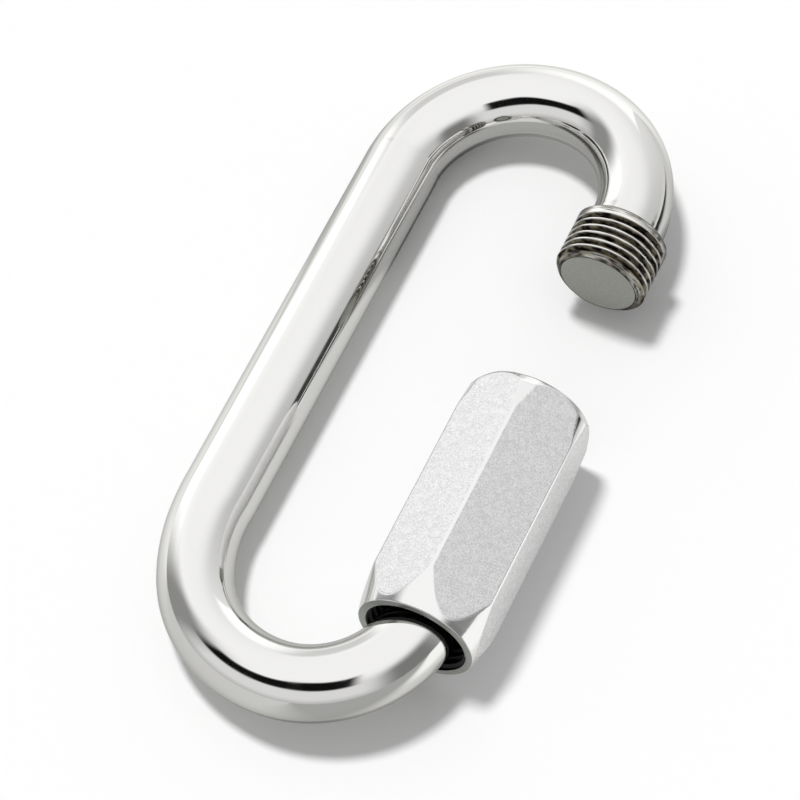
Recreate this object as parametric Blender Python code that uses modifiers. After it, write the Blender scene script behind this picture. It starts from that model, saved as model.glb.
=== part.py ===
"""Chain quick link with a long sleeve, gate open.

Two pieces: a round bar bent into a C, with a thread on each end, and a hexagonal sleeve nut that sits low on the
gate arm and screws up over the other end to close the link. Metres, +Z up. Both arms run along Y, with the long arm
at -X and the gate at +X. The link lies as it comes to rest, on its long arm and on one corner of the sleeve, so its
plane leans a little about Y. The origin is the middle of the bounding box's underside.
"""

import math

import bmesh
import bpy
from mathutils import Matrix

MM = 0.001

# The bar and its two bends
BAR_DIA = 10.0 * MM
BEND_THINNING = 0.045  # share of its thickness that the bar loses in the middle of each bend
ARM_SPACING = 32.0 * MM  # between the axes of the long arm and the gate arm
FOOT_EASE_RADIUS = 24.5 * MM  # the lower bend leaves the long arm wide and tightens towards the gate arm
FOOT_EASE_ANGLE = math.radians(26)
FOOT_WIDE_RADIUS = 17.3 * MM

# The threaded ends, upset thicker than the bar so that the sleeve can run over it
THREAD_DIA = 12.4 * MM
THREAD_PITCH = 1.1 * MM
THREAD_LENGTH = 8.1 * MM  # with its collar
COLLAR_WIDTH = 1.0 * MM  # the unthreaded shoulder next to the bar
COLLAR_CHAMFER = 0.3 * MM
END_FACE_DIA = 10.5 * MM
END_CHAMFER_LENGTH = 0.7 * MM
THREAD_TO_BEND = 1.1 * MM  # bare bar between the upper thread and the upper bend

# The sleeve nut and the gate
SLEEVE_LENGTH = 35.4 * MM
ACROSS_FLATS = 15.6 * MM
ACROSS_CORNERS = 17.8 * MM  # the polished corners are a little flatter than a sharp hexagon's
SLEEVE_RIM_DIA = 15.2 * MM
FLAT_MARGIN = 0.75 * MM  # from the sleeve's end to where its turned rim meets the middle of a flat
TAPER_LENGTH = 5.5 * MM  # from the sleeve's end to where its taper meets the corners
SHOULDER_LENGTH = 1.35 * MM  # the upper end rises steeply over this length, and then gently to the corners
SHOULDER_STEP = 0.45 * MM  # how far inside the corners its steep part stops
MOUTH_CHAMFER = 0.1 * MM
THREAD_CLEARANCE = 0.06 * MM  # all round, between the thread's crests and the sleeve's bore
GATE_OPENING = 20.5 * MM
SLEEVE_PAST_BEND = 2.95 * MM  # how far the open sleeve reaches over the start of the lower bend
LOWER_END_RECESS = 0.8 * MM  # the lower end's face lies this deep inside the open sleeve

# How finely round shapes are divided
BAR_SIDES = 32
BEND_STEP = math.radians(5)
THREAD_SIDES = 40
BORE_SIDES = 56

# What follows from the sizes above, in the link's own plane: x across, y along the arms, 0 in the middle
BAR_RADIUS = BAR_DIA / 2
THREAD_RADIUS = THREAD_DIA / 2
BORE_RADIUS = THREAD_RADIUS + THREAD_CLEARANCE
GATE_X = ARM_SPACING / 2
HEAD_RADIUS = ARM_SPACING / 2
FOOT_TIGHT_RADIUS = (
    ARM_SPACING - FOOT_EASE_RADIUS + (FOOT_EASE_RADIUS - FOOT_WIDE_RADIUS) * math.cos(FOOT_EASE_ANGLE)
)
GATE_ARM = (  # straight part of the gate arm's axis, from bend to bend
    THREAD_TO_BEND + THREAD_LENGTH + GATE_OPENING + SLEEVE_LENGTH - SLEEVE_PAST_BEND
)
AXIS_HEIGHT = HEAD_RADIUS + GATE_ARM + FOOT_TIGHT_RADIUS  # between the outermost points of the bar's axis
HEAD_BEND_Y = AXIS_HEIGHT / 2 - HEAD_RADIUS
FOOT_WIDE_Y = FOOT_WIDE_RADIUS - AXIS_HEIGHT / 2
LONG_BEND_Y = FOOT_WIDE_Y + (FOOT_EASE_RADIUS - FOOT_WIDE_RADIUS) * math.sin(FOOT_EASE_ANGLE)
GATE_BEND_Y = FOOT_TIGHT_RADIUS - AXIS_HEIGHT / 2
UPPER_FACE_Y = HEAD_BEND_Y - THREAD_TO_BEND - THREAD_LENGTH
SLEEVE_TOP_Y = UPPER_FACE_Y - GATE_OPENING
LOWER_FACE_Y = SLEEVE_TOP_Y - LOWER_END_RECESS

# How the link lies: the long arm's axis is one bar radius up, and the sleeve's axis half its corner width
LEAN = math.asin((ACROSS_CORNERS / 2 - BAR_RADIUS) / ARM_SPACING)
WIDTH = BAR_RADIUS + ARM_SPACING * math.cos(LEAN) + ACROSS_FLATS / 2
PLANE_X = BAR_RADIUS + ARM_SPACING * math.cos(LEAN) / 2 - WIDTH / 2
PLANE_Z = (BAR_RADIUS + ACROSS_CORNERS / 2) / 2


def collection(name):
    made = bpy.data.collections.new(name)
    bpy.context.scene.collection.children.link(made)
    return made


def material(name, colour, roughness):
    made = bpy.data.materials.new(name)
    made.use_nodes = True
    shader = made.node_tree.nodes["Principled BSDF"]
    shader.inputs["Base Color"].default_value = (*colour, 1)
    shader.inputs["Metallic"].default_value = 1
    shader.inputs["Roughness"].default_value = roughness
    return made


def mesh_object(name, bm, home):
    """An object made of this bmesh, its faces turned outwards, in the collection home."""
    bmesh.ops.recalc_face_normals(bm, faces=bm.faces)
    mesh = bpy.data.meshes.new(name)
    bm.to_mesh(mesh)
    bm.free()
    mesh.shade_smooth()
    mesh.set_sharp_from_angle(angle=math.radians(30))
    made = bpy.data.objects.new(name, mesh)
    home.objects.link(made)
    return made


def turned(name, profile, sides, home):
    """A solid turned about Y by a Screw. profile is (radius, y) from -Y to +Y; its ends are closed with flat discs."""
    rows = [(0, profile[-1][1]), *reversed(profile), (0, profile[0][1])]
    bm = bmesh.new()
    points = [bm.verts.new((radius, y, 0)) for radius, y in rows]
    for pair in zip(points, points[1:]):
        bm.edges.new(pair)
    mesh = bpy.data.meshes.new(name)
    bm.to_mesh(mesh)
    bm.free()
    made = bpy.data.objects.new(name, mesh)
    home.objects.link(made)
    screw = made.modifiers.new("Turn", "SCREW")
    screw.axis = "Y"
    screw.steps = screw.render_steps = sides
    screw.use_merge_vertices = True
    screw.merge_threshold = 0.001 * MM
    return made


def combine(target, other, operation):
    """Adds a Boolean with other, which becomes a hidden helper that moves with target."""
    modifier = target.modifiers.new(other.name, "BOOLEAN")
    modifier.operation = operation
    modifier.object = other
    other.parent = target
    other.hide_render = True
    other.display_type = "WIRE"


def arc(centre_x, centre_y, radius, start, sweep):
    """Points of an arc of the bar's axis, as (x, y)."""
    steps = round(sweep / BEND_STEP)
    angles = [start + sweep * i / steps for i in range(steps + 1)]
    return [(centre_x + radius * math.cos(a), centre_y + radius * math.sin(a)) for a in angles]


def thinned(points):
    """Adds the bar's relative thickness to each point of one bend: full at its ends, least in its middle."""
    last = len(points) - 1
    shares = [math.sqrt(abs(math.sin(math.pi * i / last))) for i in range(last + 1)]
    return [(x, y, 1 - BEND_THINNING * share) for (x, y), share in zip(points, shares)]


def bar_axis():
    """The bar's axis from inside the upper thread, round both bends and up into the lower thread."""
    quarter = math.pi / 2
    foot_x = GATE_X - FOOT_TIGHT_RADIUS  # where the lower bend is lowest
    head = arc(0, HEAD_BEND_Y, HEAD_RADIUS, 0, math.pi)
    ease = arc(FOOT_EASE_RADIUS - GATE_X, LONG_BEND_Y, FOOT_EASE_RADIUS, math.pi, FOOT_EASE_ANGLE)
    wide = arc(foot_x, FOOT_WIDE_Y, FOOT_WIDE_RADIUS, math.pi + FOOT_EASE_ANGLE, quarter - FOOT_EASE_ANGLE)
    tight = arc(foot_x, GATE_BEND_Y, FOOT_TIGHT_RADIUS, 3 * quarter, quarter)
    return [
        (GATE_X, UPPER_FACE_Y + THREAD_LENGTH / 2, 1),
        *thinned(head),
        *thinned(ease + wide[1:] + tight[1:]),
        (GATE_X, LOWER_FACE_Y - THREAD_LENGTH / 2, 1),
    ]


def bent_bar(home):
    """The bar as a bevelled curve, made a mesh so that its threaded ends can be joined to it."""
    axis = bar_axis()
    curve = bpy.data.curves.new("bar_axis", "CURVE")
    curve.dimensions = "3D"
    curve.bevel_depth = BAR_RADIUS
    curve.bevel_resolution = (BAR_SIDES - 4) // 2
    curve.use_fill_caps = True
    spline = curve.splines.new("POLY")
    spline.points.add(len(axis) - 1)
    for point, (x, y, thickness) in zip(spline.points, axis):
        point.co = (x, y, 0, 1)
        point.radius = thickness
    guide = bpy.data.objects.new("bar_axis", curve)
    home.objects.link(guide)
    graph = bpy.context.evaluated_depsgraph_get()
    bm = bmesh.new()
    bm.from_mesh(bpy.data.meshes.new_from_object(guide.evaluated_get(graph)))
    bmesh.ops.remove_doubles(bm, verts=bm.verts, dist=0.001 * MM)
    bpy.data.objects.remove(guide)
    return mesh_object("link_body", bm, home)


def thread_groove(name, home):
    """A helical V groove as a solid about Y. It starts one turn outside the end face, which is at y = 0."""
    depth = 0.6134 * THREAD_PITCH
    outside = 0.04 * MM
    slope = math.tan(math.radians(30))
    root = THREAD_RADIUS - depth
    crest = THREAD_RADIUS + outside
    wide = THREAD_PITCH * 7 / 16 + outside * slope
    narrow = THREAD_PITCH * 7 / 16 - depth * slope
    start = -THREAD_PITCH
    turns = (THREAD_LENGTH - COLLAR_WIDTH - start - wide) / THREAD_PITCH
    steps = round(turns * THREAD_SIDES)
    bm = bmesh.new()
    corners = ((crest, -wide), (root, -narrow), (root, narrow), (crest, wide))
    face = bm.faces.new([bm.verts.new((radius, start + y, 0)) for radius, y in corners])
    bmesh.ops.spin(
        bm,
        geom=[face, *face.edges],
        cent=(0, 0, 0),
        axis=(0, 1, 0),
        angle=math.tau * steps / THREAD_SIDES,
        steps=steps,
        dvec=(0, THREAD_PITCH / THREAD_SIDES, 0),
    )
    return mesh_object(name, bm, home)


def threaded_end(name, home):
    """One threaded end about Y, its flat face at y = 0 and its collar towards +Y."""
    profile = [
        (END_FACE_DIA / 2, 0),
        (THREAD_RADIUS, END_CHAMFER_LENGTH),
        (THREAD_RADIUS, THREAD_LENGTH - COLLAR_CHAMFER),
        (THREAD_RADIUS - COLLAR_CHAMFER, THREAD_LENGTH),
    ]
    end = turned(name, profile, THREAD_SIDES, home)
    combine(end, thread_groove(name + "_groove", home), "DIFFERENCE")
    return end


def link_body(home, helpers):
    """The bent bar and its two threaded ends, one solid."""
    body = bent_bar(home)
    upper = threaded_end("upper_end", helpers)
    upper.location = (GATE_X, UPPER_FACE_Y, 0)
    combine(body, upper, "UNION")
    lower = threaded_end("lower_end", helpers)
    lower.location = (GATE_X, LOWER_FACE_Y, 0)
    lower.rotation_euler.z = math.pi
    combine(body, lower, "UNION")
    body.data.materials.append(material("polished_bar", (0.80, 0.80, 0.79), 0.12))
    return body


def hexagonal_bar(name, home):
    """The sleeve's stock: a hexagon along Y with its long corners flattened a little, one of them towards -Z."""
    sharp_radius = ACROSS_FLATS / math.sqrt(3)
    bm = bmesh.new()
    bmesh.ops.create_cone(
        bm,
        cap_ends=True,
        segments=6,
        depth=SLEEVE_LENGTH,
        radius1=sharp_radius,
        radius2=sharp_radius,
        matrix=Matrix.Translation((0, SLEEVE_LENGTH / 2, 0)) @ Matrix.Rotation(math.pi / 2, 4, "X"),
    )
    long_edges = [edge for edge in bm.edges if edge.calc_length() > SLEEVE_LENGTH / 2]
    flattened = sharp_radius - ACROSS_CORNERS / 2
    bmesh.ops.bevel(
        bm,
        geom=long_edges,
        offset=flattened / math.cos(math.radians(60)),
        offset_type="OFFSET",
        segments=1,
        profile=0.5,
        affect="EDGES",
    )
    return mesh_object(name, bm, home)


def sleeve_nut(home, helpers):
    """The sleeve about Y, its lower rim at y = 0: a hexagon with both ends turned to a taper, bored through."""
    sleeve = hexagonal_bar("sleeve_nut", home)
    rim = SLEEVE_RIM_DIA / 2
    flat = ACROSS_FLATS / 2
    corner = ACROSS_CORNERS / 2
    lower_slope = (corner - flat) / (TAPER_LENGTH - FLAT_MARGIN)
    upper_slope = SHOULDER_STEP / (TAPER_LENGTH - SHOULDER_LENGTH)
    past_taper = SLEEVE_LENGTH / 2 - TAPER_LENGTH
    tapers = [
        (rim, 0),
        (flat, FLAT_MARGIN),
        (corner + lower_slope * past_taper, SLEEVE_LENGTH / 2),
        (corner + upper_slope * past_taper, SLEEVE_LENGTH / 2),
        (corner - SHOULDER_STEP, SLEEVE_LENGTH - SHOULDER_LENGTH),
        (rim, SLEEVE_LENGTH),
    ]
    combine(sleeve, turned("sleeve_tapers", tapers, BORE_SIDES, helpers), "INTERSECT")
    wide = BORE_RADIUS + 2 * MOUTH_CHAMFER
    bore = [
        (wide, -MOUTH_CHAMFER),
        (BORE_RADIUS, MOUTH_CHAMFER),
        (BORE_RADIUS, SLEEVE_LENGTH - MOUTH_CHAMFER),
        (wide, SLEEVE_LENGTH + MOUTH_CHAMFER),
    ]
    combine(sleeve, turned("sleeve_bore", bore, BORE_SIDES, helpers), "DIFFERENCE")
    sleeve.data.materials.append(material("satin_sleeve", (0.74, 0.74, 0.74), 0.32))
    return sleeve


def main():
    for old in list(bpy.data.objects):
        bpy.data.objects.remove(old, do_unlink=True)
    home = collection("chain_quick_link")
    helpers = collection("helpers")

    link_plane = bpy.data.objects.new("link_plane", None)
    link_plane.location = (PLANE_X, 0, PLANE_Z)
    link_plane.rotation_euler.y = -LEAN
    home.objects.link(link_plane)

    body = link_body(home, helpers)
    body.parent = link_plane

    sleeve = sleeve_nut(home, helpers)
    sleeve.parent = link_plane
    sleeve.location = (GATE_X, SLEEVE_TOP_Y - SLEEVE_LENGTH, 0)
    sleeve.rotation_euler.y = LEAN  # brings one of its corners straight down


main()
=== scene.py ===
"""Looks of the chain quick link, on white.

A mirror-polished bar ends in two cut threads, and a satin hexagonal sleeve runs on them. The pieces repeat
the solids' driving sizes, in metres, with the fine surface that the solids leave out.
"""

import math

import bmesh
import bpy
from mathutils import Matrix, Vector


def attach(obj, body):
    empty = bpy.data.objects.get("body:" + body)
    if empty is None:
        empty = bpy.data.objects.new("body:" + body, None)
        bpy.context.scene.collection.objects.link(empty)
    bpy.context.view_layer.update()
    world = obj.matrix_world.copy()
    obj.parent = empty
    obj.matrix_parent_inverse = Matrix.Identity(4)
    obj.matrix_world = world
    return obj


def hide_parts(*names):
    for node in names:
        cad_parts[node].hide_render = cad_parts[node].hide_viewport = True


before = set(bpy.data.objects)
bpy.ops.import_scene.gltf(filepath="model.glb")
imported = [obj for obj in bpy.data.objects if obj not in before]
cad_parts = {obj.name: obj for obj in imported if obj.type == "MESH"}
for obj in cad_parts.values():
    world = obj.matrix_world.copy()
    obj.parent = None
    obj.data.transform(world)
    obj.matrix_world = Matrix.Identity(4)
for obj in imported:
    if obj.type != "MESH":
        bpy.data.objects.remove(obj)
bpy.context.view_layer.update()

MM = 0.001

# The bar and its bends
BAR_DIA = 10.0 * MM
BEND_THINNING = 0.045
ARM_SPACING = 32.0 * MM
FOOT_EASE_RADIUS = 24.5 * MM
FOOT_EASE_ANGLE = math.radians(26)
FOOT_WIDE_RADIUS = 17.3 * MM

# The threaded ends
THREAD_DIA = 12.4 * MM
THREAD_PITCH = 1.1 * MM
THREAD_DEPTH = 0.6134 * THREAD_PITCH
GROOVE_HALF_WIDTH = THREAD_PITCH * 7 / 16
FLANK_SLOPE = math.tan(math.radians(30))
THREAD_LENGTH = 8.1 * MM
COLLAR_WIDTH = 1.0 * MM
COLLAR_CHAMFER = 0.3 * MM
END_FACE_DIA = 10.5 * MM
END_CHAMFER_LENGTH = 0.7 * MM
THREAD_TO_BEND = 1.1 * MM

# The sleeve and the gate
SLEEVE_LENGTH = 35.4 * MM
ACROSS_FLATS = 15.6 * MM
ACROSS_CORNERS = 17.8 * MM
SLEEVE_RIM_DIA = 15.2 * MM
FLAT_MARGIN = 0.75 * MM
TAPER_LENGTH = 5.5 * MM
SHOULDER_LENGTH = 1.35 * MM
SHOULDER_STEP = 0.45 * MM
THREAD_CLEARANCE = 0.06 * MM
GATE_OPENING = 20.5 * MM
SLEEVE_PAST_BEND = 2.95 * MM
LOWER_END_RECESS = 0.8 * MM
RIM_ROUND = 0.12 * MM
MOUTH_CHAMFER = 0.35 * MM
INNER_GROOVE_DEPTH = 0.45 * MM
INNER_GROOVE_HALF_WIDTH = 0.42 * THREAD_PITCH
INNER_THREAD_LENGTH = 9.0 * MM
POLISHED_EDGE = 0.24 * MM

# How softly the sleeve's surfaces run into each other
CORNER_BLEND = 0.04 * MM
TAPER_BLEND = 0.05 * MM
SHOULDER_BLEND = 0.08 * MM

# What follows from them in the link's own plane
BAR_RADIUS = BAR_DIA / 2
THREAD_RADIUS = THREAD_DIA / 2
BORE_RADIUS = THREAD_RADIUS + THREAD_CLEARANCE
GATE_X = ARM_SPACING / 2
HEAD_RADIUS = ARM_SPACING / 2
FOOT_TIGHT_RADIUS = (
    ARM_SPACING - FOOT_EASE_RADIUS + (FOOT_EASE_RADIUS - FOOT_WIDE_RADIUS) * math.cos(FOOT_EASE_ANGLE)
)
GATE_ARM = THREAD_TO_BEND + THREAD_LENGTH + GATE_OPENING + SLEEVE_LENGTH - SLEEVE_PAST_BEND
AXIS_HEIGHT = HEAD_RADIUS + GATE_ARM + FOOT_TIGHT_RADIUS
HEAD_BEND_Y = AXIS_HEIGHT / 2 - HEAD_RADIUS
FOOT_WIDE_Y = FOOT_WIDE_RADIUS - AXIS_HEIGHT / 2
LONG_BEND_Y = FOOT_WIDE_Y + (FOOT_EASE_RADIUS - FOOT_WIDE_RADIUS) * math.sin(FOOT_EASE_ANGLE)
GATE_BEND_Y = FOOT_TIGHT_RADIUS - AXIS_HEIGHT / 2
UPPER_FACE_Y = HEAD_BEND_Y - THREAD_TO_BEND - THREAD_LENGTH
SLEEVE_TOP_Y = UPPER_FACE_Y - GATE_OPENING
LOWER_FACE_Y = SLEEVE_TOP_Y - LOWER_END_RECESS

# How the link's plane lies at rest: on the long arm and on the sleeve's lowest corner
LEAN = math.asin((ACROSS_CORNERS / 2 - BAR_RADIUS) / ARM_SPACING)
WIDTH = BAR_RADIUS + ARM_SPACING * math.cos(LEAN) + ACROSS_FLATS / 2
PLANE_X = BAR_RADIUS + ARM_SPACING * math.cos(LEAN) / 2 - WIDTH / 2
PLANE_Z = (BAR_RADIUS + ACROSS_CORNERS / 2) / 2
LINK_PLANE = Matrix.Translation((PLANE_X, 0, PLANE_Z)) @ Matrix.Rotation(-LEAN, 4, "Y")

# How finely the shapes are divided, how close points merge, and how far a cutter reaches past what it cuts
BAR_SIDES = 96
BEND_STEP = math.radians(1.5)
THREAD_SIDES = 96
PAST_TAPER = 0.5 * MM
TAPER_ROWS = 48
MIDDLE_ROWS = 5
MERGE_DISTANCE = 0.0005 * MM
CUTTER_REACH = 0.04 * MM

# Angles at which an edge is sharp, on the smooth bar and on the machined pieces
BAR_SHARP = math.radians(40)
MACHINED_SHARP = math.radians(25)

# How near to a surface a point counts as on it, and how much of a flat end's normal points along the axis
MARK_SLACK = 0.01 * MM
ALONG_AXIS = 0.9
STRAIGHT_ALONG_AXIS = 0.99

# The light: the even part, the key light's strength, apparent size and leans to the left and to the back, and
# the brightness of the darkest strips that the metal mirrors
AMBIENT = 0.46
KEY_STRENGTH = 1.95
KEY_ANGLE = math.radians(10)
KEY_TILT = math.radians(14)
KEY_BACK = math.radians(5)
SKIRTING_LEVEL = 0.05
BLACK_BAND_LEVEL = 0.006

# The side of the floor, in metres
FLOOR_SIZE = 4

# Colours of the metals, of the floor as the camera sees it, and of the floor as the metal mirrors it
POLISHED = (0.83, 0.825, 0.81, 1)
POLISHED_TINT = (0.62, 0.62, 0.61, 1)
CREST = (0.86, 0.855, 0.83, 1)
CREST_TINT = (0.6, 0.6, 0.6, 1)
GROOVE_STAIN = (0.30, 0.27, 0.21, 1)
# Near-black painted shade deep in the thread's grooves
GROOVE_PAINTED_SHADE = (0.012, 0.012, 0.010, 1)
FACED_TINT = (0.8, 0.8, 0.8, 1)
END_FACE = (0.44, 0.445, 0.405, 1)
# A thin dark ring round the outer edge of the thread's end face
DARK_EDGE_RING = (0.05, 0.05, 0.045, 1)
RIM = (0.42, 0.44, 0.41, 1)
# Painted shade: the near-black inside of the sleeve's bore
BORE_PAINTED_SHADE = (0.035, 0.035, 0.035, 1)
SATIN_LOW = (0.70, 0.70, 0.705, 1)
SATIN_HIGH = (0.98, 0.975, 0.978, 1)
SLEEVE_POLISHED = (0.85, 0.85, 0.845, 1)
WHITE = (1, 1, 1, 1)
FLOOR = (0.94, 0.94, 0.94, 1)
FLOOR_MIRRORED = (0.40, 0.40, 0.395, 1)
# Painted shade: a near-black patch in the floor's far corner, which the metal mirrors as a dark line
FLOOR_PAINTED_SHADE = (0.03, 0.03, 0.03, 1)
FLOOR_GLOW = (1, 1, 0.99, 1)

# The camera: its lens in mm, and in the link's plane where it stands and where its right and its top point
LENS = 184.1
CAMERA_PLACE = (181.2 * MM, -244.5 * MM, 416.9 * MM)
CAMERA_RIGHT = Vector((0.89627, 0.41746, -0.14976))
CAMERA_UP = Vector((-0.26821, 0.77910, 0.56662))


def new_object(name, bm):
    bmesh.ops.recalc_face_normals(bm, faces=bm.faces)
    mesh = bpy.data.meshes.new(name)
    bm.to_mesh(mesh)
    bm.free()
    made = bpy.data.objects.new(name, mesh)
    bpy.context.scene.collection.objects.link(made)
    return made


def shade(obj, sharp_angle):
    obj.data.shade_smooth()
    obj.data.set_sharp_from_angle(angle=sharp_angle)


def cut(target, cutter):
    """Takes the cutter out of the target, and removes the cutter."""
    modifier = target.modifiers.new(cutter.name, "BOOLEAN")
    modifier.operation = "DIFFERENCE"
    modifier.object = cutter
    graph = bpy.context.evaluated_depsgraph_get()
    mesh = bpy.data.meshes.new_from_object(target.evaluated_get(graph))
    target.modifiers.clear()
    target.data = mesh
    bpy.data.objects.remove(cutter)


def turned(name, profile):
    """A closed solid turned about Y. profile is (radius, y) from -Y to +Y."""
    rows = [(0, profile[0][1]), *profile, (0, profile[-1][1])]
    bm = bmesh.new()
    points = [bm.verts.new((radius, y, 0)) for radius, y in rows]
    edges = [bm.edges.new(pair) for pair in zip(points, points[1:])]
    bmesh.ops.spin(
        bm,
        geom=points + edges,
        cent=(0, 0, 0),
        axis=(0, 1, 0),
        angle=math.tau,
        steps=THREAD_SIDES,
    )
    bmesh.ops.remove_doubles(bm, verts=bm.verts, dist=MERGE_DISTANCE)
    return new_object(name, bm)


def helix(name, section, start, turns):
    """A section of (radius, y) swept along a right-handed helix about Y, as a closed solid."""
    steps = round(turns * THREAD_SIDES)
    bm = bmesh.new()
    face = bm.faces.new([bm.verts.new((radius, start + y, 0)) for radius, y in section])
    bmesh.ops.spin(
        bm,
        geom=[face, *face.edges],
        cent=(0, 0, 0),
        axis=(0, 1, 0),
        angle=math.tau * steps / THREAD_SIDES,
        steps=steps,
        dvec=(0, THREAD_PITCH / THREAD_SIDES, 0),
    )
    return new_object(name, bm)


def arc(centre_x, centre_y, radius, start, sweep):
    steps = round(sweep / BEND_STEP)
    angles = [start + sweep * i / steps for i in range(steps + 1)]
    return [(centre_x + radius * math.cos(a), centre_y + radius * math.sin(a)) for a in angles]


def thinned(points):
    """Adds the bar's relative thickness to each point of one bend: full at its ends, least in its middle."""
    last = len(points) - 1
    shares = [math.sqrt(abs(math.sin(math.pi * i / last))) for i in range(last + 1)]
    return [(x, y, 1 - BEND_THINNING * share) for (x, y), share in zip(points, shares)]


def bar_axis():
    """Points of the bar's middle line, (x, y, relative thickness), from the upper thread to the lower one."""
    quarter = math.pi / 2
    foot_x = GATE_X - FOOT_TIGHT_RADIUS
    head = arc(0, HEAD_BEND_Y, HEAD_RADIUS, 0, math.pi)
    ease = arc(FOOT_EASE_RADIUS - GATE_X, LONG_BEND_Y, FOOT_EASE_RADIUS, math.pi, FOOT_EASE_ANGLE)
    wide = arc(foot_x, FOOT_WIDE_Y, FOOT_WIDE_RADIUS, math.pi + FOOT_EASE_ANGLE, quarter - FOOT_EASE_ANGLE)
    tight = arc(foot_x, GATE_BEND_Y, FOOT_TIGHT_RADIUS, 3 * quarter, quarter)
    return [
        (GATE_X, UPPER_FACE_Y + THREAD_LENGTH / 2, 1),
        *thinned(head),
        *thinned(ease + wide[1:] + tight[1:]),
        (GATE_X, LOWER_FACE_Y - THREAD_LENGTH / 2, 1),
    ]


def bent_bar():
    axis = bar_axis()
    curve = bpy.data.curves.new("bent_bar", "CURVE")
    curve.dimensions = "3D"
    curve.bevel_depth = BAR_RADIUS
    curve.bevel_resolution = (BAR_SIDES - 4) // 2
    curve.use_fill_caps = True
    spline = curve.splines.new("POLY")
    spline.points.add(len(axis) - 1)
    for point, (x, y, thickness) in zip(spline.points, axis):
        point.co = (x, y, 0, 1)
        point.radius = thickness
    guide = bpy.data.objects.new("bent_bar_guide", curve)
    bpy.context.scene.collection.objects.link(guide)
    graph = bpy.context.evaluated_depsgraph_get()
    bm = bmesh.new()
    bm.from_mesh(bpy.data.meshes.new_from_object(guide.evaluated_get(graph)))
    bmesh.ops.remove_doubles(bm, verts=bm.verts, dist=MERGE_DISTANCE)
    bpy.data.objects.remove(guide)
    bar = new_object("bent_bar", bm)
    shade(bar, BAR_SHARP)
    return bar


def threaded_end(name):
    """One threaded end about Y, its flat face at y = 0 and its collar towards +Y."""
    profile = [
        (END_FACE_DIA / 2, 0),
        (THREAD_RADIUS, END_CHAMFER_LENGTH),
        (THREAD_RADIUS, THREAD_LENGTH - COLLAR_CHAMFER),
        (THREAD_RADIUS - COLLAR_CHAMFER, THREAD_LENGTH),
    ]
    end = turned(name, profile)
    root = THREAD_RADIUS - THREAD_DEPTH
    outside = THREAD_RADIUS + CUTTER_REACH
    wide = GROOVE_HALF_WIDTH + CUTTER_REACH * FLANK_SLOPE
    narrow = GROOVE_HALF_WIDTH - THREAD_DEPTH * FLANK_SLOPE
    start = -THREAD_PITCH
    turns = (THREAD_LENGTH - COLLAR_WIDTH - start - wide) / THREAD_PITCH
    section = [(outside, -wide), (root, -narrow), (root, narrow), (outside, wide)]
    cut(end, helix(name + "_groove", section, start, turns))
    shade(end, MACHINED_SHARP)
    return end


def soft_min(a, b, blend):
    overlap = max(blend - abs(a - b), 0) / blend
    return min(a, b) - overlap * overlap * blend / 4


def angle_off_flat(angle):
    """How far an angle round the sleeve is from the middle of its nearest flat; there are six."""
    return abs((angle + math.pi / 6) % (math.pi / 3) - math.pi / 6)


def hexagon_radius(angle):
    """The sleeve's hexagon with its flattened corners."""
    off_flat = angle_off_flat(angle)
    flat = ACROSS_FLATS / 2 / math.cos(off_flat)
    corner = ACROSS_CORNERS / 2 / math.cos(math.pi / 6 - off_flat)
    return soft_min(flat, corner, CORNER_BLEND)


def lower_taper(y):
    """The turned lower end's radius at a height y above the lower rim."""
    rim, flat, corner = SLEEVE_RIM_DIA / 2, ACROSS_FLATS / 2, ACROSS_CORNERS / 2
    if y < FLAT_MARGIN:
        return rim + (flat - rim) * y / FLAT_MARGIN
    return flat + (corner - flat) * (y - FLAT_MARGIN) / (TAPER_LENGTH - FLAT_MARGIN)


def upper_taper(y):
    """The turned upper end's radius at a distance y below the upper rim."""
    rim, shoulder = SLEEVE_RIM_DIA / 2, ACROSS_CORNERS / 2 - SHOULDER_STEP
    steep = rim + (shoulder - rim) * y / SHOULDER_LENGTH
    gentle = shoulder + SHOULDER_STEP * (y - SHOULDER_LENGTH) / (TAPER_LENGTH - SHOULDER_LENGTH)
    return soft_min(steep, gentle, SHOULDER_BLEND)


def taper_radius(y):
    """The turned ends' radius at a height y above the lower rim."""
    return lower_taper(y) if y < SLEEVE_LENGTH / 2 else upper_taper(SLEEVE_LENGTH - y)


def sleeve_angles():
    """Angles round the sleeve: quarter degrees within 3 degrees of a corner, and whole degrees between."""
    near = [math.radians(i * 0.25) for i in range(-12, 12)]
    far = [math.radians(3 + i) for i in range(54)]
    return [math.radians(30 + 60 * k) + a for k in range(6) for a in near + far]


def sleeve_rows():
    """Heights of the sleeve's rows, from one rounded rim to the other, closest on the turned ends."""
    rim = [RIM_ROUND * (1 - math.cos(math.radians(a))) for a in (0, 30, 60, 90)]
    reach = TAPER_LENGTH + PAST_TAPER
    taper = [RIM_ROUND + (reach - RIM_ROUND) * i / TAPER_ROWS for i in range(1, TAPER_ROWS + 1)]
    middle = [reach + (SLEEVE_LENGTH / 2 - reach) * i / MIDDLE_ROWS for i in range(1, MIDDLE_ROWS + 1)]
    half = rim + taper + middle
    return half + [SLEEVE_LENGTH - y for y in reversed(half[:-1])]


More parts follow.
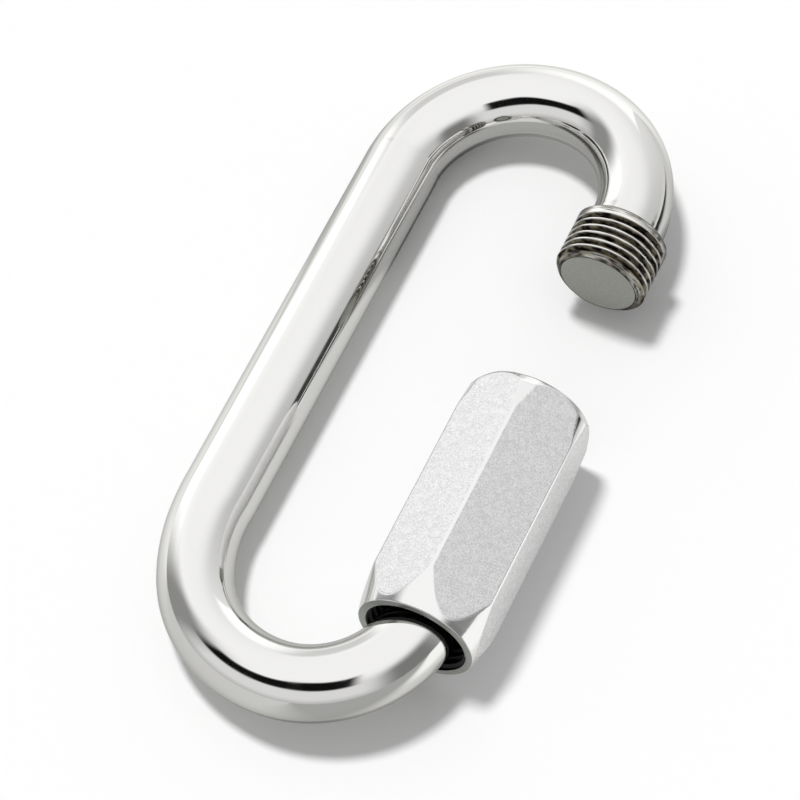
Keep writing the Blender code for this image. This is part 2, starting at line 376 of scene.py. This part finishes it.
def sleeve_skin():
    """The sleeve's outside as one closed skin, its lower rim at y = 0."""
    angles = sleeve_angles()
    bm = bmesh.new()
    rings = []
    for y in sleeve_rows():
        inset = RIM_ROUND - min(y, SLEEVE_LENGTH - y, RIM_ROUND)
        limit = taper_radius(y) - RIM_ROUND + math.sqrt(RIM_ROUND**2 - inset**2)
        radii = [soft_min(hexagon_radius(a), limit, TAPER_BLEND) for a in angles]
        rings.append([bm.verts.new((r * math.cos(a), y, r * math.sin(a))) for a, r in zip(angles, radii)])
    for low, high in zip(rings, rings[1:]):
        for i in range(len(angles)):
            j = (i + 1) % len(angles)
            bm.faces.new((low[i], low[j], high[j], high[i]))
    bm.faces.new(rings[0])
    bm.faces.new(rings[-1])
    return new_object("sleeve", bm)


def bore():
    """What is cut out of the sleeve: a plain bore, with a chamfer at each mouth that runs on past the rim."""
    past = MOUTH_CHAMFER
    widest = BORE_RADIUS + MOUTH_CHAMFER + past
    profile = [
        (widest, -past),
        (BORE_RADIUS, MOUTH_CHAMFER),
        (BORE_RADIUS, SLEEVE_LENGTH - MOUTH_CHAMFER),
        (widest, SLEEVE_LENGTH + past),
    ]
    return turned("bore", profile)


def inner_groove(start):
    """One stretch of the inner thread's groove, upwards from start."""
    inside, root = BORE_RADIUS - CUTTER_REACH, BORE_RADIUS + INNER_GROOVE_DEPTH
    wide = INNER_GROOVE_HALF_WIDTH + CUTTER_REACH * FLANK_SLOPE
    narrow = INNER_GROOVE_HALF_WIDTH - INNER_GROOVE_DEPTH * FLANK_SLOPE
    section = [(inside, -wide), (inside, wide), (root, narrow), (root, -narrow)]
    return helix("inner_groove", section, start, INNER_THREAD_LENGTH / THREAD_PITCH)


def sleeve_body():
    """The sleeve, bored, and threaded inside at both mouths."""
    sleeve = sleeve_skin()
    cut(sleeve, bore())
    for start in (0, SLEEVE_LENGTH - INNER_THREAD_LENGTH):
        cut(sleeve, inner_groove(start))
    shade(sleeve, MACHINED_SHARP)
    return sleeve


def mark_sleeve(sleeve):
    """Marks which points are polished, and gives the rims and the bore their own materials."""
    mesh = sleeve.data
    polish = mesh.attributes.new("polish", "FLOAT", "POINT")
    corner_line = ACROSS_FLATS / 2 * math.tan(math.pi / 6) - POLISHED_EDGE
    for vertex, mark in zip(mesh.vertices, polish.data):
        x, y, z = vertex.co
        off_flat = angle_off_flat(math.atan2(z, x))
        across = math.hypot(x, z) * math.sin(off_flat)
        on_taper = taper_radius(y) < hexagon_radius(off_flat) + 3 * MARK_SLACK
        mark.value = 1 if on_taper or across > corner_line else 0
    deepest = BORE_RADIUS + INNER_GROOVE_DEPTH + MARK_SLACK
    for polygon in mesh.polygons:
        radius = math.hypot(polygon.center.x, polygon.center.z)
        along = abs(polygon.normal.y)
        if radius < deepest and along < STRAIGHT_ALONG_AXIS:
            polygon.material_index = 2
        elif along > ALONG_AXIS:
            polygon.material_index = 1


def mark_thread(end):
    """Marks each point with its depth under the crests, and gives both flat ends their own material.

    The chamfer and the collar are marked as a little below the crests.
    """
    mesh = end.data
    depth = mesh.attributes.new("depth", "FLOAT", "POINT")
    little_depth = 0.2
    for vertex, mark in zip(mesh.vertices, depth.data):
        y = vertex.co.y
        radius = math.hypot(vertex.co.x, vertex.co.z)
        chamfer = END_FACE_DIA / 2 + (THREAD_DIA - END_FACE_DIA) / 2 * y / END_CHAMFER_LENGTH
        on_chamfer = y < END_CHAMFER_LENGTH and radius > chamfer - MARK_SLACK
        on_collar = y > THREAD_LENGTH - COLLAR_WIDTH + 2 * MARK_SLACK and radius > BAR_RADIUS
        mark.value = little_depth if on_chamfer or on_collar else (THREAD_RADIUS - radius) / THREAD_DEPTH
    margin = THREAD_PITCH / 10
    for polygon in mesh.polygons:
        at_an_end = not margin < polygon.center.y < THREAD_LENGTH - margin
        if abs(polygon.normal.y) > ALONG_AXIS and at_an_end:
            polygon.material_index = 1


def place(obj, local):
    """Puts a piece where it lies in the rest frame; its place is in its mesh."""
    obj.data.transform(LINK_PLANE @ local)
    bpy.context.view_layer.update()


class Nodes:
    """Short calls for the nodes of one material or world."""

    def __init__(self, owner):
        owner.use_nodes = True
        self.tree = owner.node_tree

    def new(self, kind, inputs=None, **settings):
        node = self.tree.nodes.new(kind)
        for name, value in settings.items():
            setattr(node, name, value)
        for name, value in (inputs or {}).items():
            self.feed(node.inputs[name], value)
        return node

    def feed(self, socket, value):
        if isinstance(value, bpy.types.NodeSocket):
            self.tree.links.new(value, socket)
        else:
            socket.default_value = value

    def math(self, operation, a, b=0.0, c=0.0):
        return self.new("ShaderNodeMath", {0: a, 1: b, 2: c}, operation=operation).outputs[0]

    def product(self, a, b):
        return self.math("MULTIPLY", a, b)

    def ramp(self, value, low, high, to_low=0.0, to_high=1.0):
        """A smooth step of value from to_low at low to to_high at high."""
        inputs = {"Value": value, "From Min": low, "From Max": high, "To Min": to_low, "To Max": to_high}
        return self.new("ShaderNodeMapRange", inputs, interpolation_type="SMOOTHSTEP").outputs[0]

    def window(self, value, low, high, soft):
        """1 between low and high, falling to 0 over soft outside them."""
        rise = self.ramp(value, low - soft, low)
        fall = self.ramp(value, high, high + soft, 1.0, 0.0)
        return self.product(rise, fall)

    def mix(self, factor, a, b):
        return self.new("ShaderNodeMix", {"Factor": factor, "A": a, "B": b}).outputs[0]

    def blend(self, factor, a, b):
        """Mixes two colours."""
        node = self.new("ShaderNodeMix", data_type="RGBA")
        self.feed(node.inputs[0], factor)
        self.feed(node.inputs[6], a)
        self.feed(node.inputs[7], b)
        return node.outputs[2]

    def noise(self, scale, detail, stretch=(1, 1, 1)):
        """Noise over the piece's own coordinates; scale counts cells for each millimetre."""
        point = self.new("ShaderNodeTexCoord").outputs["Object"]
        point = self.new("ShaderNodeMapping", {"Vector": point, "Scale": stretch}).outputs[0]
        inputs = {"Vector": point, "Scale": scale / MM, "Detail": detail}
        return self.new("ShaderNodeTexNoise", inputs).outputs["Fac"]

    def mark(self, name):
        """The value that a point attribute of the piece has."""
        return self.new("ShaderNodeAttribute", attribute_name=name).outputs["Fac"]

    def bump(self, height, strength, distance):
        inputs = {"Height": height, "Strength": strength, "Distance": distance}
        return self.new("ShaderNodeBump", inputs).outputs[0]

    def ray_kinds(self):
        """Whether a ray comes straight from the camera, and whether a piece mirrored it or let it through."""
        path = self.new("ShaderNodeLightPath").outputs
        mirrored = self.math("MAXIMUM", path["Is Glossy Ray"], path["Is Transmission Ray"])
        return path["Is Camera Ray"], mirrored


def material(name, colour, roughness, edge_tint=WHITE, metallic=1):
    """A metal, or with metallic 0 something else; edge_tint is how a metal mirrors at a glancing angle."""
    made = bpy.data.materials.new(name)
    nodes = Nodes(made)
    shader = made.node_tree.nodes["Principled BSDF"]
    shader.inputs["Base Color"].default_value = colour
    shader.inputs["Metallic"].default_value = metallic
    shader.inputs["Roughness"].default_value = roughness
    shader.inputs["Specular Tint"].default_value = edge_tint
    return made, nodes, shader


def polished_steel():
    """Mirror-polished bar: slightly wavy, with faint rub marks that dull it here and there."""
    clean, rubbed = 0.06, 0.12
    made, nodes, shader = material("polished", POLISHED, clean, POLISHED_TINT)
    rub_marks = nodes.ramp(nodes.noise(0.35, 6), 0.45, 0.75)
    nodes.feed(shader.inputs["Roughness"], nodes.mix(rub_marks, clean, rubbed))
    nodes.feed(shader.inputs["Normal"], nodes.bump(nodes.noise(0.12, 2), 0.4, 0.04 * MM))
    return made


def thread_steel():
    """Cut thread: bright crests, and grooves darkened with their depth, partly a brown stain and partly
    near-black painted shade, with streaks running round them.
    """
    bright, dull = 0.18, 0.40
    made, nodes, shader = material("thread", CREST, bright, CREST_TINT)
    streaks = nodes.noise(5.0, 3, (0.09, 1, 0.09))
    uneven = nodes.math("MULTIPLY_ADD", streaks, 0.5, -0.25)
    deep = nodes.ramp(nodes.math("ADD", nodes.mark("depth"), uneven), 0.0, 0.26)
    # Which parts of the grooves are near-black painted shade and which a brown stain
    shade_over_stain = nodes.ramp(nodes.noise(2.4, 3, (0.25, 1, 0.25)), 0.38, 0.62)
    groove = nodes.blend(shade_over_stain, GROOVE_STAIN, GROOVE_PAINTED_SHADE)
    nodes.feed(shader.inputs["Base Color"], nodes.blend(deep, CREST, groove))
    nodes.feed(shader.inputs["Roughness"], nodes.mix(deep, bright, dull))
    nodes.feed(shader.inputs["Normal"], nodes.bump(streaks, 0.5, 0.04 * MM))
    return made


def faced_steel(name, colour, roughness, outlined=False):
    """A plain turned face: matte grey with a fine grain; outlined darkens a thin ring round its outer edge.
    """
    made, nodes, shader = material(name, colour, roughness, FACED_TINT)
    grain = nodes.noise(5.0, 4)
    dark = (*(c * 0.93 for c in colour[:3]), 1)
    light = (*(c * 1.06 for c in colour[:3]), 1)
    surface = nodes.blend(nodes.ramp(grain, 0.35, 0.65), dark, light)
    if outlined:
        # A thin dark ring along the face's outer edge
        surface = nodes.blend(nodes.ramp(nodes.mark("depth"), 0.32, 0.50), DARK_EDGE_RING, surface)
    nodes.feed(shader.inputs["Base Color"], surface)
    nodes.feed(shader.inputs["Normal"], nodes.bump(grain, 0.25, 0.02 * MM))
    return made


def satin_steel():
    """Blasted flats with a fine grain, polished where the polish mark is 1."""
    satin, polished = 0.42, 0.10
    made, nodes, shader = material("satin", SATIN_HIGH, satin)
    polish = nodes.mark("polish")
    fine = nodes.noise(5.5, 3)
    coarse = nodes.noise(1.2, 2)
    grain = nodes.math("MULTIPLY_ADD", coarse, 0.25, fine)
    flat_colour = nodes.blend(nodes.ramp(grain, 0.42, 0.82), SATIN_LOW, SATIN_HIGH)
    nodes.feed(shader.inputs["Base Color"], nodes.blend(polish, flat_colour, SLEEVE_POLISHED))
    nodes.feed(shader.inputs["Roughness"], nodes.mix(polish, satin, polished))
    grain_off_polish = nodes.product(grain, nodes.math("SUBTRACT", 1.0, polish))
    nodes.feed(shader.inputs["Normal"], nodes.bump(grain_off_polish, 0.8, 0.04 * MM))
    return made


def dome(nodes):
    """How bright the metal sees each direction. Angles are in degrees, from the front with + to the right."""
    direction = nodes.new("ShaderNodeTexCoord").outputs["Generated"]
    axes = nodes.new("ShaderNodeSeparateXYZ", {0: direction}).outputs
    x, y, z = axes[0], axes[1], axes[2]
    height = nodes.math("DEGREES", nodes.math("ARCSINE", z))
    from_front = nodes.math("DEGREES", nodes.math("ARCTAN2", x, nodes.product(y, -1.0)))

    def card(level, brightness, reach, rise, soft):
        """Lays a card over the dome; reach is its span round the object, rise its span in height."""
        inside = nodes.product(nodes.window(from_front, *reach, soft), nodes.window(height, *rise, soft))
        return nodes.mix(inside, level, brightness)

    # The dome is even overhead, and lower down it darkens from left to right
    sides = nodes.math("MULTIPLY_ADD", x, -0.34, 0.88)
    level = nodes.mix(nodes.ramp(height, 28, 62), sides, 1.06)
    # A grey and a bright card behind on the left, and a bright one straight behind
    level = card(level, 0.74, reach=(-144, -134), rise=(8, 24), soft=10)
    level = card(level, 1.32, reach=(-122, -106), rise=(2, 24), soft=9)
    level = card(level, 1.25, reach=(-190, -160), rise=(-20, 20), soft=12)
    # A grey card low over the front, darker at its foot, and a dark one on each side
    grey = nodes.ramp(height, -2, 16, 0.54, 0.80)
    level = card(level, grey, reach=(-60, 40), rise=(-25, 30), soft=18)
    level = card(level, 0.30, reach=(-90, -78), rise=(-4, 34), soft=24)
    level = card(level, 0.22, reach=(70, 88), rise=(6, 30), soft=22)
    level = nodes.mix(skirting(nodes, from_front, height), level, SKIRTING_LEVEL)
    return nodes.mix(black_band(nodes, from_front, height), level, BLACK_BAND_LEVEL)


def skirting(nodes, from_front, height):
    """1 on the dark strip along the horizon, back right, which draws the dark line along the long arm."""
    top = nodes.ramp(from_front, 118, 140, 12.0, 1.0)
    below_top = nodes.ramp(nodes.math("SUBTRACT", height, top), -2, 4, 1.0, 0.0)
    return nodes.product(nodes.window(from_front, 108, 122, 10), below_top)


def black_band(nodes, from_front, height):
    """1 on the black strip over the front, which climbs and widens to the right and shows in both bends."""
    low = nodes.ramp(from_front, -70, -5, 30.0, 37.0)
    high = nodes.ramp(from_front, -70, -5, 47.0, 61.0)
    over_low = nodes.ramp(nodes.math("SUBTRACT", height, low), -2, 3)
    under_high = nodes.ramp(nodes.math("SUBTRACT", high, height), -2, 3)
    return nodes.product(nodes.product(over_low, under_high), nodes.window(from_front, -66, 30, 14))


def studio_world():
    """White behind everything, the dome for the metal to mirror, and an even light for the rest."""
    world = bpy.data.worlds.new("studio")
    bpy.context.scene.world = world
    nodes = Nodes(world)
    seen, mirrored = nodes.ray_kinds()
    plain = nodes.mix(seen, AMBIENT, 1.0)
    background = nodes.tree.nodes["Background"]
    background.inputs["Color"].default_value = WHITE
    nodes.feed(background.inputs["Strength"], nodes.mix(mirrored, plain, dome(nodes)))
    nodes.tree.links.new(background.outputs[0], nodes.tree.nodes["World Output"].inputs["Surface"])


def floor_glow(nodes, x, y, painted_shade_corner):
    """How much the floor shines where the metal mirrors it: pools of painted light round the link, dimmed as
    painted shade under the head and at the foot's right side. Places are in millimetres.
    """
    left = nodes.product(nodes.ramp(x, -32, -18, 0.28, 0.0), nodes.ramp(y, -50, -20))
    right = nodes.product(nodes.ramp(x, 26, 40, 0.0, 0.34), nodes.window(y, -40, 25, 12))
    behind = nodes.product(nodes.window(x, -30, 14, 14), nodes.ramp(y, 44, 56, 0.0, 0.42))
    under_head = nodes.ramp(nodes.window(y, 22, 36, 9), 0, 1, 0.32, 0.02)
    at_foot = nodes.mix(nodes.ramp(y, -54, -44), nodes.ramp(x, -4, 12, 0.80, 0.0), 1.0)
    near = nodes.product(under_head, at_foot)
    glow = nodes.math("ADD", nodes.math("ADD", left, right), nodes.math("ADD", near, behind))
    return nodes.product(glow, nodes.math("SUBTRACT", 1.0, painted_shade_corner))


def floor_white():
    """White to the camera; the metal mirrors it greyer, with a glow that varies round the link and a
    near-black patch of painted shade in its far corner.
    """
    made, nodes, shader = material("floor", FLOOR, 1, metallic=0)
    shader.inputs["Specular IOR Level"].default_value = 0
    shader.inputs["Emission Color"].default_value = FLOOR_GLOW
    seen, mirrored = nodes.ray_kinds()
    point = nodes.new("ShaderNodeTexCoord").outputs["Object"]
    axes = nodes.new("ShaderNodeSeparateXYZ", {0: point}).outputs
    x, y = nodes.math("DIVIDE", axes[0], MM), nodes.math("DIVIDE", axes[1], MM)
    # A near-black patch of painted shade in the far corner, seen only by the metal, which mirrors it as a
    # dark line
    painted_shade_corner = nodes.product(nodes.ramp(x, 34, 54), nodes.window(y, 36, 90, 12))
    glow = floor_glow(nodes, x, y, painted_shade_corner)
    nodes.feed(shader.inputs["Emission Strength"], nodes.product(mirrored, glow))
    mirrored_floor = nodes.blend(painted_shade_corner, FLOOR_MIRRORED, FLOOR_PAINTED_SHADE)
    nodes.feed(shader.inputs["Base Color"], nodes.blend(seen, mirrored_floor, FLOOR))
    return made


def floor():
    bpy.ops.mesh.primitive_plane_add(size=FLOOR_SIZE)
    made = bpy.context.object
    made.name = "floor"
    made.data.materials.append(floor_white())


def key_light():
    """One soft light almost overhead, a little from the left and the back, which the metal doesn't mirror."""
    sun = bpy.data.objects.new("key", bpy.data.lights.new("key", "SUN"))
    sun.data.energy = KEY_STRENGTH
    sun.data.angle = KEY_ANGLE
    sun.rotation_euler = (-KEY_BACK, -KEY_TILT, 0)
    sun.visible_glossy = False
    bpy.context.scene.collection.objects.link(sun)


def camera():
    data = bpy.data.cameras.new("camera")
    data.lens = LENS
    made = bpy.data.objects.new("camera", data)
    back = CAMERA_RIGHT.cross(CAMERA_UP)
    turn = Matrix((CAMERA_RIGHT, CAMERA_UP, back)).transposed().to_4x4()
    made.matrix_world = LINK_PLANE @ Matrix.Translation(CAMERA_PLACE) @ turn
    bpy.context.scene.collection.objects.link(made)
    bpy.context.scene.camera = made


def dress(piece, materials, body, node):
    """Gives a piece its materials, attaches it to what it moves with, and hides the part that it stands in
    for.
    """
    # Clearing the materials also forgets which face has which
    kept = [polygon.material_index for polygon in piece.data.polygons]
    piece.data.materials.clear()
    for made in materials:
        piece.data.materials.append(made)
    piece.data.polygons.foreach_set("material_index", kept)
    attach(piece, body)
    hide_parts(node)


def make_bar():
    bar = bent_bar()
    place(bar, Matrix())
    dress(bar, [polished_steel()], "link", "link_body")


def make_threads():
    materials = [thread_steel(), faced_steel("end_face", END_FACE, 0.45, outlined=True)]
    half_turn = Matrix.Rotation(math.pi, 4, "Z")
    ends = (("upper_thread", UPPER_FACE_Y, Matrix()), ("lower_thread", LOWER_FACE_Y, half_turn))
    for name, face_y, turn in ends:
        end = threaded_end(name)
        mark_thread(end)
        place(end, Matrix.Translation((GATE_X, face_y, 0)) @ turn)
        dress(end, materials, "link", "link_body")


def make_sleeve():
    sleeve = sleeve_body()
    mark_sleeve(sleeve)
    corner_down = Matrix.Rotation(LEAN, 4, "Y")
    place(sleeve, Matrix.Translation((GATE_X, SLEEVE_TOP_Y - SLEEVE_LENGTH, 0)) @ corner_down)
    # The bore is coloured near-black, painted shade inside the sleeve
    materials = [satin_steel(), faced_steel("rim", RIM, 0.34), faced_steel("bore", BORE_PAINTED_SHADE, 0.40)]
    dress(sleeve, materials, "sleeve", "sleeve_nut")


bpy.context.scene.view_settings.view_transform = "Standard"
camera()
studio_world()
key_light()
floor()
make_bar()
make_threads()
make_sleeve()
